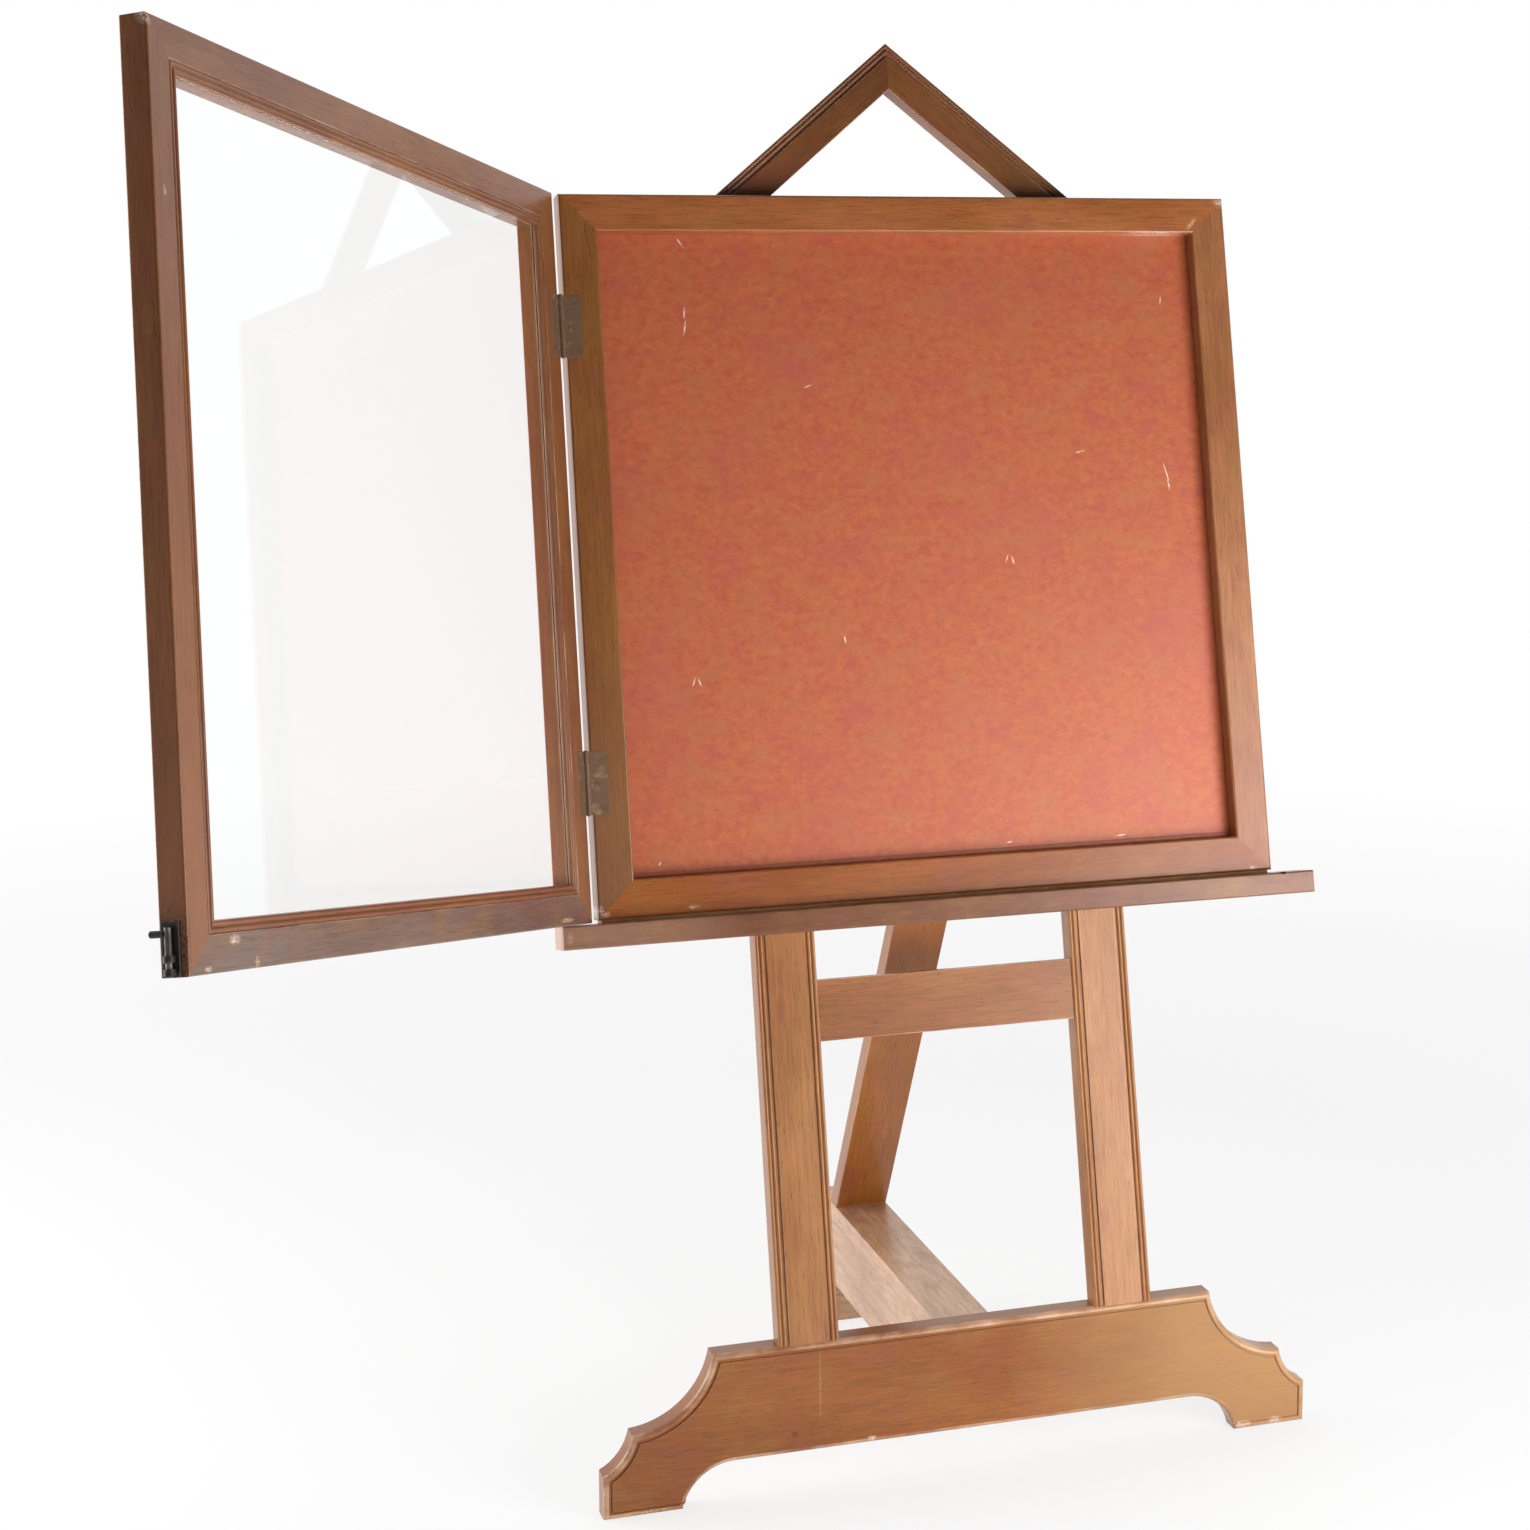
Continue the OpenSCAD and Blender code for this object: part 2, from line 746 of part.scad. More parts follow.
module lower_hinge_pin() {
    hinge_pin(hinge_places()[0]);
}

module case_leaf_screws() {
    color(BRASS) for (s = hinge_places()) at_hinge() translate([0, 0, s]) hinge_screws(false);
}

module upper_door_leaf() {
    color(BRASS) on_door() translate([0, 0, hinge_places()[1]]) mirror([0, 1, 0]) leaf(1);
}

module lower_door_leaf() {
    color(BRASS) on_door() translate([0, 0, hinge_places()[0]]) mirror([0, 1, 0]) leaf(1);
}

module door_leaf_screws() {
    color(BRASS) for (s = hinge_places())
        on_door() translate([0, 0, s]) mirror([0, 1, 0]) hinge_screws(false);
}

// ---- door ----

module door_profile() {
    outer_r = 2;
    lip = bead_t + glass_t;
    polygon(concat([[door_frame_w - bead_w, 0], [door_frame_w - bead_w, lip], [door_frame_w, lip]],
        arc(door_frame_w - outer_r, door_t - outer_r, outer_r, 0, 90, 4),
        arc(outer_r, door_t - outer_r, outer_r, 90, 180, 4), arc(outer_r, outer_r, outer_r, 180, 270, 4)));
}

module bead_profile() {
    r = bead_w / 4;
    inner = door_frame_w - bead_w;
    polygon(concat([for (p = reeds(inner, 2, r)) p], [[door_frame_w, bead_t], [inner, bead_t]]));
}

module on_door_centre() {
    on_door() translate([hinge_out + door_w / 2, -face_gap / 2, door_s + door_h / 2]) children();
}

module door_member(side) {
    on_door_centre() mitred_member(side, door_w, door_h, door_frame_w, door_t) door_profile();
}

module bead(side) {
    color(DOOR_WOOD) on_door_centre() mitred_member(side, door_w, door_h, door_frame_w, bead_t) bead_profile();
}

module door_hinge_stile() {
    color(DOOR_WOOD) difference() {
        door_member(1);
        for (s = hinge_places()) on_door() translate([0, 0, s]) mirror([0, 1, 0]) leaf_recess();
    }
}

module door_lock_stile() {
    color(DOOR_WOOD) difference() {
        door_member(3);
        at_bolt_screws() screw_hole(bolt_screw_r, bolt_screw_head_r, bolt_screw_l);
    }
}

module door_top_rail() {
    color(DOOR_WOOD) door_member(2);
}

module door_bottom_rail() {
    color(DOOR_WOOD) difference() {
        door_member(0);
        at_bolt_screws() screw_hole(bolt_screw_r, bolt_screw_head_r, bolt_screw_l);
    }
}

module door_glass() {
    color(GLASS) on_door_centre() block([glass_edge - door_w / 2, -bead_t - glass_t, glass_edge - door_h / 2],
        [door_w / 2 - glass_edge, -bead_t, door_h / 2 - glass_edge]);
}

module left_bead() {
    bead(1);
}

module right_bead() {
    bead(3);
}

module top_bead() {
    bead(2);
}

module bottom_bead() {
    bead(0);
}

// ---- bolt ----

bolt_screw_r = 1.1;
bolt_screw_head_r = 1.8;
bolt_screw_l = 9;
bolt_screw_side = 4.6;                          // from the rod's axis
bolt_screw_up = [8.8, 22, 38];                  // above the plate's bottom

// on the door's free edge, driven into it, on either side of the rod in turn
module at_bolt_screws() {
    for (i = [0:2])
        on_door() translate([door_edge + bolt_plate_t, rod_y + bolt_screw_side * (i == 1 ? -1 : 1),
            door_s + bolt_lift + bolt_screw_up[i]]) rotate([0, 0, 90]) children();
}

module bolt_plate() {
    color(IRON) difference() {
        on_door() block([door_edge, plate_y - bolt_plate_w, door_s + bolt_lift],
            [door_edge + bolt_plate_t, plate_y, door_s + bolt_lift + bolt_plate_h]);
        at_bolt_screws() screw_hole(bolt_screw_r, bolt_screw_head_r, bolt_screw_l);
    }
}

// each guide is a strap bent over the rod, standing on the plate
module bolt_guides() {
    outer_r = rod_r + rod_fit + guide_wall;
    floor_x = door_edge + bolt_plate_t;
    color(IRON) for (up = guide_up) on_door() translate([0, 0, rod_tip_s + up]) difference() {
        union() {
            block([floor_x, rod_y - outer_r, 0], [rod_x, rod_y + outer_r, guide_h]);
            translate([rod_x, rod_y, 0]) cylinder(h = guide_h, r = outer_r);
        }
        translate([rod_x, rod_y, -cut]) cylinder(h = guide_h + 2 * cut, r = rod_r + rod_fit);
        block([floor_x - outer_r, rod_y - 2 * outer_r, -cut], [floor_x, rod_y + 2 * outer_r, guide_h + cut]);
    }
}

module bolt_screws() {
    color(IRON) at_bolt_screws() wood_screw(bolt_screw_r, bolt_screw_head_r, bolt_screw_l);
}

knob_pin_r = 1.2;                               // the knob's spigot in the rod

module bolt_rod() {
    color(STEEL) on_door() translate([rod_x, rod_y, rod_tip_s]) difference() {
        union() {
            cylinder(h = 1, r1 = rod_r - 1, r2 = rod_r);
            translate([0, 0, 1]) cylinder(h = rod_l - 1, r = rod_r);
        }
        translate([0, 0, knob_up]) rotate([90, 0, 0]) cylinder(h = rod_r + cut, r = knob_pin_r + pin_fit);
    }
}

module bolt_knob() {
    color(IRON) on_door() translate([rod_x, rod_y, rod_tip_s + knob_up]) rotate([90, 0, 0]) union() {
        cylinder(h = knob_l - 1, r = knob_pin_r);
        translate([0, 0, rod_r + fit]) cylinder(h = knob_l - rod_r - fit - 1, r = knob_r);
        translate([0, 0, knob_l - 1]) cylinder(h = 1, r1 = knob_r, r2 = knob_r - 1);
    }
}

front_foot();
left_leg();
right_leg();
cross_rail();
upper_rail();
left_gable_arm();
right_gable_arm();
gable_dowels();
shelf();
shelf_screws();
case_packing();
beam_top();
beam_rail();
rear_foot();
rear_foot_dowels();
strut();
strut_screws();
case_left_stile();
case_right_stile();
case_top_rail();
case_bottom_rail();
case_back();
display_panel();
case_screws();
upper_case_leaf();
lower_case_leaf();
upper_hinge_pin();
lower_hinge_pin();
case_leaf_screws();
door_hinge_stile();
door_lock_stile();
door_top_rail();
door_bottom_rail();
door_glass();
left_bead();
right_bead();
top_bead();
bottom_bead();
upper_door_leaf();
lower_door_leaf();
door_leaf_screws();
bolt_plate();
bolt_guides();
bolt_screws();
bolt_rod();
bolt_knob();
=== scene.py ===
# %% [markdown]
# # A wooden display easel
# The easel stands on a shaped front foot and a floor beam, leans back on a strut, and carries a
# shallow case with a glass door. Its pieces come ready cut, at their real size and in their real
# place, and they stay as they are. What is left is the finisher's work: the arrises are eased, the
# foot gets its moulded border, the panel its covering, and every surface its polish and its wear.

# %% Load the pieces
import json
import math

import bmesh
import bpy
from mathutils import Matrix, Vector


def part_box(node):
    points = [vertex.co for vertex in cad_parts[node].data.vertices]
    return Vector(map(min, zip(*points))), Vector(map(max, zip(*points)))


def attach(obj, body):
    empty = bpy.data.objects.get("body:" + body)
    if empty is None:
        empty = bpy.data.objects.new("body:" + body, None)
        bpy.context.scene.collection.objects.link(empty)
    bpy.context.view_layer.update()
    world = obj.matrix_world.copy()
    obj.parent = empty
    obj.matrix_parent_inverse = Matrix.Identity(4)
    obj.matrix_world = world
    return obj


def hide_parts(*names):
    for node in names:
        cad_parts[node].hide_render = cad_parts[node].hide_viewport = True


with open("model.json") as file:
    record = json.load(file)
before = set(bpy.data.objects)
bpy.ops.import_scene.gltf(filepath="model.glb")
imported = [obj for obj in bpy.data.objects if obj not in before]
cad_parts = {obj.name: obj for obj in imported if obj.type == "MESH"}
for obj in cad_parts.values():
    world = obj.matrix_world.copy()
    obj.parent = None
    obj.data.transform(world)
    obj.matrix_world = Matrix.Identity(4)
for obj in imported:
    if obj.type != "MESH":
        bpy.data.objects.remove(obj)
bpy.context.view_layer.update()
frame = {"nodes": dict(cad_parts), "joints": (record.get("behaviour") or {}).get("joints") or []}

# %% [markdown]
# ## Directions
# Wood is drawn along its grain, so each board needs the direction in which it was sawn. The legs
# lean back, and the door hangs open, so their directions come from the door's hinge: its axis lies
# along the leaning front, and its range says how far the door stands open.

# %% The directions of the stand, the case and the door
hinge = next(joint for joint in frame["joints"] if joint["name"] == "door_hinge")
ACROSS = Vector((1, 0, 0))
BACK = Vector((0, 1, 0))
UP = Vector((0, 0, 1))
UP_SLOPE = -Vector(hinge["axis"]).normalized()
OUT_OF_SLOPE = ACROSS.cross(UP_SLOPE)
DOOR_TURN = Matrix.Rotation(math.radians(hinge["range_deg"][0]), 3, UP_SLOPE)
ALONG_DOOR = DOOR_TURN @ ACROSS
OUT_OF_DOOR = DOOR_TURN @ OUT_OF_SLOPE
print("the stand leans back", round(math.degrees(math.atan2(UP_SLOPE.y, UP_SLOPE.z)), 1), "degrees")


# %% Measure a piece along a direction
def reach(node, direction):
    """The lowest and highest place of a piece along a direction, in metres."""
    places = [vertex.co.dot(direction) for vertex in frame["nodes"][node].data.vertices]
    return min(places), max(places)


def thick(node, lean):
    """How thick a piece is, square to a direction that leans to the front as it rises."""
    low, high = reach(node, BACK * math.cos(lean) + UP * math.sin(lean))
    return high - low


arm_low, arm_high = reach("left_gable_arm", ACROSS)
arm_foot, arm_top = reach("left_gable_arm", UP_SLOPE)
PITCH = math.atan2(arm_top - arm_foot, arm_high - arm_low)
LEFT_ARM = ACROSS * math.cos(PITCH) + UP_SLOPE * math.sin(PITCH)
RIGHT_ARM = -ACROSS * math.cos(PITCH) + UP_SLOPE * math.sin(PITCH)
leans = [math.radians(half_degrees / 2) for half_degrees in range(40, 80)]
STRUT_LEAN = min(leans, key=lambda lean: thick("strut", lean))
UP_STRUT = -BACK * math.sin(STRUT_LEAN) + UP * math.cos(STRUT_LEAN)
print("the gable arms rise at", round(math.degrees(PITCH), 1), "degrees")
print("the strut leans forward", round(math.degrees(STRUT_LEAN), 1), "degrees")

# %% The axes of the panel and the door, and the size of the case's frame
MM = 0.001
PANEL_AXES = (ACROSS, UP_SLOPE, OUT_OF_SLOPE)
FACING = Matrix(PANEL_AXES).transposed()
DOOR_AXES = (ALONG_DOOR, UP_SLOPE, OUT_OF_DOOR)
DOOR_FACING = Matrix(DOOR_AXES).transposed()

spans = [reach("display_panel", axis) for axis in PANEL_AXES]
MIDDLE = sum(((low + high) / 2 * axis for (low, high), axis in zip(spans, PANEL_AXES)), Vector())
panel_w, panel_h, panel_t = [high - low for low, high in spans]

outer, lower, inner = [reach("door_lock_stile", axis) for axis in DOOR_AXES]
DOOR_CORNER = ALONG_DOOR * outer[1] + UP_SLOPE * lower[0] + OUT_OF_DOOR * inner[0]

rail_foot, rail_top = reach("case_bottom_rail", UP_SLOPE)
CASE_FRAME = rail_top - rail_foot
print("the panel measures", round(panel_w, 4), "by", round(panel_h, 4))
print("the case frame is", round(CASE_FRAME / MM, 1), "mm wide")

# %% [markdown]
# ## Camera
# The camera stands in front and to the left, about as high as a person's chest, and looks a
# little down. A long lens keeps the upright lines nearly parallel. The small shift moves the view
# on the sensor, so the easel sits well in the frame without tilting the camera any further.


# %% Camera
def aim(yaw, pitch, roll):
    """Turns a camera from looking down to yaw right of straight ahead, pitched up and rolled."""
    flat = Matrix.Rotation(-yaw, 4, "Z")
    raised = Matrix.Rotation(math.pi / 2 + pitch, 4, "X")
    return flat @ raised @ Matrix.Rotation(roll, 4, "Z")


lens = bpy.data.cameras.new("camera")
lens.lens = 67.34
lens.sensor_width = 36
lens.shift_x = -0.1312
lens.shift_y = -0.1123
camera = bpy.data.objects.new("camera", lens)
bpy.context.scene.collection.objects.link(camera)
camera.matrix_world = Matrix.Translation((-0.9678, -3.2306, 1.3316)) @ aim(
    yaw=math.radians(19.106), pitch=math.radians(-7.387), roll=math.radians(0.26))
bpy.context.scene.camera = camera
print("camera at", [round(x, 2) for x in camera.location])

# %% [markdown]
# ## Light
# A studio with a white backdrop and a dim front. The backdrop lights the sides and the tops of the
# boards and shows in their polish, so the edges go pale where the eye skims them, while the faces
# that look into the dim room keep their full colour. To the eye and through the glass the whole
# world is white.


# %% The room round the easel
# How far in front of the easel's sides, and behind them, the dome goes from dim to bright.
DUSK = 0.35


def set_world(front, back):
    """A dome that is dim in front and bright behind, but plain white to the eye and through glass."""
    world = bpy.data.worlds.new("studio")
    bpy.context.scene.world = world
    world.use_nodes = True
    tree = world.node_tree
    direction = tree.nodes.new("ShaderNodeTexCoord")
    apart = tree.nodes.new("ShaderNodeSeparateXYZ")
    tree.links.new(direction.outputs["Generated"], apart.inputs["Vector"])
    room = tree.nodes.new("ShaderNodeMapRange")
    room.interpolation_type = "SMOOTHSTEP"
    tree.links.new(apart.outputs["Y"], room.inputs["Value"])
    for socket, value in {"From Min": -DUSK, "From Max": DUSK, "To Min": front, "To Max": back}.items():
        room.inputs[socket].default_value = value
    seen = tree.nodes.new("ShaderNodeLightPath")
    level = room.outputs["Result"]
    for ray in ("Is Camera Ray", "Is Transmission Ray"):
        brighter = tree.nodes.new("ShaderNodeMath")
        brighter.operation = "MAXIMUM"
        tree.links.new(seen.outputs[ray], brighter.inputs[0])
        tree.links.new(level, brighter.inputs[1])
        level = brighter.outputs[0]
    background = tree.nodes["Background"]
    background.inputs["Color"].default_value = (1, 1, 1, 1)
    tree.links.new(level, background.inputs["Strength"])
    print("the room goes from", front, "in front to", back, "behind")


set_world(front=0.06, back=1)

# %% [markdown]
# ## Lamps
# Four large soft lamps do the rest. One on the right lays a haze on the polish and lights nothing
# else. One low in front lights the boards, and one on the left their sides, and neither is seen in
# the polish, so the haze keeps its place. The last stands behind on the left, like a window.


# %% Hang the lamps
def lamp(name, place, target, size, watts):
    """A square soft lamp at a place, turned to a target."""
    light = bpy.data.lights.new(name, "AREA")
    light.size = size
    light.energy = watts
    shade = bpy.data.objects.new(name, light)
    bpy.context.scene.collection.objects.link(shade)
    shade.location = place
    shade.rotation_euler = (Vector(target) - Vector(place)).to_track_quat("-Z", "Y").to_euler()
    return shade


sheen = lamp("sheen", place=(1.45, -2.1, 0.75), target=(0.1, -0.3, 0.7), size=1.15, watts=27)
sheen.visible_diffuse = False
key = lamp("key", place=(0.8, -1.8, 0.5), target=(0.05, -0.35, 0.8), size=1.1, watts=40)
key.visible_glossy = False
side = lamp("side", place=(-2.4, -0.7, 0.55), target=(0, -0.1, 0.7), size=1.6, watts=17)
side.visible_glossy = False
lamp("window", place=(-2.2, 0.4, 0.9), target=(-0.1, -0.1, 0.6), size=1.4, watts=32)
print("lamps", [light.name for light in bpy.data.lights])

# %% [markdown]
# ## Bench helpers
# The pieces are worked in edit mode with the same tools as by hand. Each tool acts on whatever is
# selected, so a piece is picked alone first, and its edges are then chosen in code by the way they
# run and the angle that their faces make.


# %% Pick a piece and open it
def pick(piece):
    """Selects one piece and nothing else."""
    bpy.ops.object.select_all(action="DESELECT")
    piece.select_set(True)
    bpy.context.view_layer.objects.active = piece


def open_mesh(piece):
    """Opens a piece in edit mode with nothing selected, and returns its editable mesh."""
    pick(piece)
    bpy.ops.object.mode_set(mode="EDIT")
    bpy.ops.mesh.select_mode(type="EDGE")
    bpy.ops.mesh.select_all(action="DESELECT")
    return bmesh.from_edit_mesh(piece.data)


def close_mesh(piece):
    """Writes the selection back and leaves edit mode."""
    bmesh.update_edit_mesh(piece.data)
    bpy.ops.object.mode_set(mode="OBJECT")


# %% Take a copy of a piece to work on
MERGE = 2e-5
FLAT = math.radians(1)


def copy_of(node):
    """A copy of a ready-cut piece, its loose triangles merged and its flat faces made whole."""
    ready = frame["nodes"][node]
    piece = bpy.data.objects.new(node + "_worked", ready.data.copy())
    bpy.context.scene.collection.objects.link(piece)
    piece.data.materials.clear()
    if piece.data.has_custom_normals:
        pick(piece)
        bpy.ops.mesh.customdata_custom_splitnormals_clear()
    open_mesh(piece)
    bpy.ops.mesh.select_all(action="SELECT")
    bpy.ops.mesh.remove_doubles(threshold=MERGE)
    bpy.ops.mesh.dissolve_limited(angle_limit=FLAT)
    close_mesh(piece)
    return piece


# %% Round the edges of a piece
ROUND = 0.5
SHARP = math.radians(40)
PARALLEL = 0.999


def round_selected(piece, width, segments, clamp):
    """Rounds the edges that are selected, marks their new faces as rubbed, and closes the piece."""
    bmesh.update_edit_mesh(piece.data)
    bpy.ops.mesh.bevel(offset=width, segments=segments, profile=ROUND, affect="EDGES",
                       clamp_overlap=clamp)
    mesh = bmesh.from_edit_mesh(piece.data)
    worn = mesh.faces.layers.float.get("worn") or mesh.faces.layers.float.new("worn")
    for face in mesh.faces:
        if face.select:
            face[worn] = 1
    close_mesh(piece)


def ease(piece, width, along=None, shortest=0.01):
    """Rounds the outer edges that run along a direction, or all that are long enough."""
    mesh = open_mesh(piece)
    for edge in mesh.edges:
        line = edge.verts[1].co - edge.verts[0].co
        runs = along is None or abs(line.normalized().dot(along)) > PARALLEL
        outer = len(edge.link_faces) == 2 and edge.calc_face_angle_signed(0) > SHARP
        edge.select_set(runs and outer and line.length > shortest)
    round_selected(piece, width, segments=2, clamp=along is None)


# %% Hand a finished piece over
SMOOTH = math.radians(50)


def finish_piece(piece, node, material, body):
    """Smooths a worked piece, gives it its finish, and puts it in its ready-cut piece's stead."""
    pick(piece)
    bpy.ops.object.shade_smooth_by_angle(angle=SMOOTH)
    even = piece.modifiers.new("even", "WEIGHTED_NORMAL")
    even.keep_sharp = True
    bpy.ops.object.modifier_apply(modifier="even")
    piece.data.materials.append(material)
    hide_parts(node)
    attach(piece, body)


# %% [markdown]
# ## A recipe book for finishes
# A finish is mixed from noise: broad noise for the tone of the board, noise stretched along the
# grain for its figure and pores, and fine noise for the feel of the surface. The two small classes
# below keep each recipe short. The first adds single nodes, one line to a node and its links, and
# the second adds the patterns that the finishes of the easel share.


# %% Colours
def tone(code):
    """A colour from its six-figure code, as light, by the curve that screens use."""
    parts = [int(code[i:i + 2], 16) / 255 for i in (0, 2, 4)]
    return [part / 12.92 if part < 0.04 else ((part + 0.055) / 1.055) ** 2.4 for part in parts] + [1]


# %% Single nodes
class Mixer:
    """A material being mixed. Its methods add one node each and return that node's output."""

    def __init__(self, name):
        self.material = bpy.data.materials.new(name)
        self.material.use_nodes = True
        self.tree = self.material.node_tree
        self.place = self.tree.nodes.new("ShaderNodeTexCoord").outputs["Object"]

    def put(self, socket, value):
        """Links an output to a socket, or sets the socket to a value."""
        if isinstance(value, bpy.types.NodeSocket):
            self.tree.links.new(value, socket)
        else:
            socket.default_value = value

    def node(self, kind, inputs, output=0, **settings):
        """A node of a kind, with its settings, its numbers and its links."""
        node = self.tree.nodes.new("ShaderNode" + kind)
        for name, value in settings.items():
            setattr(node, name, value)
        for socket, value in inputs.items():
            self.put(node.inputs[socket], value)
        return node.outputs[output]

    def noise(self, vector, scale, detail, rough, swirl=0):
        """Soft noise from 0 to 1."""
        return self.node("TexNoise", {"Vector": vector, "Scale": scale, "Detail": detail,
                                      "Roughness": rough, "Distortion": swirl})

    def ramp(self, value, low, high, to_low=0.0, to_high=1.0):
        """Spreads the part of a value between low and high over another range."""
        return self.node("MapRange", {"Value": value, "From Min": low, "From Max": high,
                                      "To Min": to_low, "To Max": to_high})

    def math(self, operation, first, second):
        """One sum with two numbers."""
        return self.node("Math", {0: first, 1: second}, operation=operation)

    def mix(self, share, first, second):
        """Two colours mixed by a share of the second."""
        return self.node("Mix", {0: share, 6: first, 7: second}, 2, data_type="RGBA")


# %% Patterns
SPOT_EDGE = 0.6


class Recipe(Mixer):
    """A material with the patterns that the finishes of the easel share."""

    def turned(self, matrix, centre, stretch):
        """The place on the piece, seen from a centre, along turned axes, stretched on each."""
        return self.node("Mapping", {"Vector": self.place, "Location": centre,
                                     "Rotation": matrix.to_euler(), "Scale": stretch},
                         vector_type="TEXTURE")

    def layer(self, colour, pattern, low, high, share, paint):
        """A colour with paint laid over it, from none at a pattern's low to a share at its high."""
        return self.mix(self.ramp(pattern, low, high, 0, share), colour, tone(paint))

    def spot(self, lie, centre, size):
        """1 in the middle of a spot and 0 outside it, its size given along turned axes."""
        near = self.turned(lie, centre, size)
        ball = self.node("TexGradient", {"Vector": near}, 1, gradient_type="SPHERICAL")
        return self.ramp(ball, 0, SPOT_EDGE)

    def worn(self):
        """1 on the arrises that were eased and rubbed, and 0 elsewhere."""
        return self.node("Attribute", {}, "Fac", attribute_name="worn")

    def corners(self, distance):
        """Near 1 in inner corners and quirks, where the surface is shaded."""
        open_air = self.node("AmbientOcclusion", {"Distance": distance}, "AO", samples=6)
        return self.ramp(open_air, 0.7, 0.2)

    def bump(self, height, strength, distance):
        """The surface raised by a height, in metres at full strength."""
        return self.node("Bump", {"Height": height, "Strength": strength, "Distance": distance})

    def surface(self, **inputs):
        """Gives the shader its inputs, named with _ for a space, and returns the material."""
        for name, value in inputs.items():
            self.put(self.tree.nodes["Principled BSDF"].inputs[name.replace("_", " ")], value)
        return self.material


# %% [markdown]
# ## Wood
# The easel is straight-grained hardwood, stained and waxed long ago. One recipe serves every board:
# the pattern is turned so that its long axis runs with the board's grain, and each board starts at
# its own place in the noise, so no two are alike. The stain is rubbed pale on the arrises. A pale
# tone is laid where the quirks are shaded, as dust and as painted light that lifts their shade. A
# thin coat makes the faces go pale where the eye skims them.

# %% What the wood is made of
# How far each pattern is drawn out along the grain, then its scale, detail, roughness and swirl.
GRAIN = {
    "broad": (3, 11, 3, 0.55, 0),
    "figure": (16, 190, 4, 0.6, 0.2),
    "fibre": (26, 700, 3, 0.6, 0),
    "pores": (12, 800, 2, 0.5, 0),
    "patches": (1.7, 24, 5, 0.65, 0),
}
# A pattern, its low and its high, the share of paint at its high, and the paint.
STREAKS = [
    ("figure", 0.42, 0.72, 0.26, "643c1c"),
    ("patches", 0.5, 0.68, 0.38, "90662f"),
    ("patches", 0.46, 0.3, 0.5, "8a4c3c"),
    ("fibre", 0.4, 0.66, 0.28, "40200c"),
    ("pores", 0.6, 0.7, 0.35, "331a0c"),
]
RUBBED = "cfa98c"
# The pale tone laid in shaded quirks, as dust and painted light; how far the shade is sought; its
# share.
QUIRK_DUST_AND_LIGHT = "c8a288"
QUIRK_LIGHT_REACH = 0.0016
QUIRK_LIGHT_SHARE = 0.65
# Marks broader than this are painted light and haze, laid smooth at this share.
PAINTED_LIGHT_BREADTH = 0.05
PAINTED_LIGHT_SHARE = 0.5
OFF_GRAIN = 0.8
NEXT_BOARD = Vector((0.37, 1.91, 0.73))
print("the wood has", len(GRAIN), "patterns and", len(STREAKS), "layers of streaks")


# %% The wood recipe
def wood(name, grain, dark, light, start, wax=0.9, marks=()):
    """Stained and waxed hardwood with its grain along a direction, and marks at their places."""
    recipe = Recipe(name)
    off_grain = BACK if abs(grain.dot(BACK)) < OFF_GRAIN else UP
    side = grain.cross(off_grain).normalized()
    board = Matrix((grain, side, grain.cross(side))).transposed()
    pattern = {kind: recipe.noise(recipe.turned(board, NEXT_BOARD * start, (drawn, 1, 1)), *noise)
               for kind, (drawn, *noise) in GRAIN.items()}
    colour = recipe.mix(recipe.ramp(pattern["broad"], 0.35, 0.65), tone(dark), tone(light))
    for kind, low, high, share, paint in STREAKS:
        colour = recipe.layer(colour, pattern[kind], low, high, share, paint)
    rubbing = recipe.ramp(pattern["patches"], 0.4, 0.62, 0.1, 0.7)
    colour = recipe.mix(recipe.math("MULTIPLY", recipe.worn(), rubbing), colour, tone(RUBBED))
    # Painted light and dust: a pale tone laid where the surface is shaded, in the quirks.
    quirk_dust_and_light = recipe.math("MULTIPLY", recipe.corners(QUIRK_LIGHT_REACH), QUIRK_LIGHT_SHARE)
    colour = recipe.mix(quirk_dust_and_light, colour, tone(QUIRK_DUST_AND_LIGHT))
    chipped = recipe.ramp(recipe.noise(recipe.place, 420, 3, 0.7), 0.42, 0.6, 0.1, 0.8)
    for lie, centre, size, paint in marks:
        share = PAINTED_LIGHT_SHARE if min(size[:2]) > PAINTED_LIGHT_BREADTH else chipped
        mark = recipe.math("MULTIPLY", recipe.spot(lie, centre, size), share)
        colour = recipe.mix(mark, colour, tone(paint))
    height = recipe.math("SUBTRACT", pattern["figure"], recipe.ramp(pattern["pores"], 0.58, 0.78))
    return recipe.surface(
        Base_Color=colour, Roughness=recipe.ramp(pattern["figure"], 0.2, 0.8, 0.42, 0.58),
        Specular_IOR_Level=0.1, Coat_Weight=wax, Coat_Roughness=0.27,
        Normal=recipe.bump(height, strength=0.25, distance=0.0002))


# %% [markdown]
# ## Which board gets which wood
# Each row names a board, the body that it moves with, its record slot, its grain and its two
# stain tones. The foot, legs and rails are the warmest, and the gable is darker. The beam has lost
# its stain and gone pale. The sides of the case differ a little in tone. The door's lower rail is
# painted greyer, as painted haze.

# %% The stains
FOOT = ("874914", "995b23")
LEG = ("975f32", "ac7545")
RAIL = ("834d28", "985e33")
GABLE = ("734527", "885530")
STRUT = ("8e5223", "a6642a")
BEAM = ("bf936f", "dab18d")
CASE_LEFT = ("7b471f", "935e30")
CASE_TOP = ("9b5525", "b66f42")
CASE_RIGHT = ("925634", "ac7249")
CASE_LOW = ("874617", "a15722")
# Painted haze: a greyer tone for the door's lower rail.
DOOR_LOW_HAZE = ("664d46", "78645a")
DOOR = ("764328", "8c5833")
SHELF = ("673c26", "794e32")

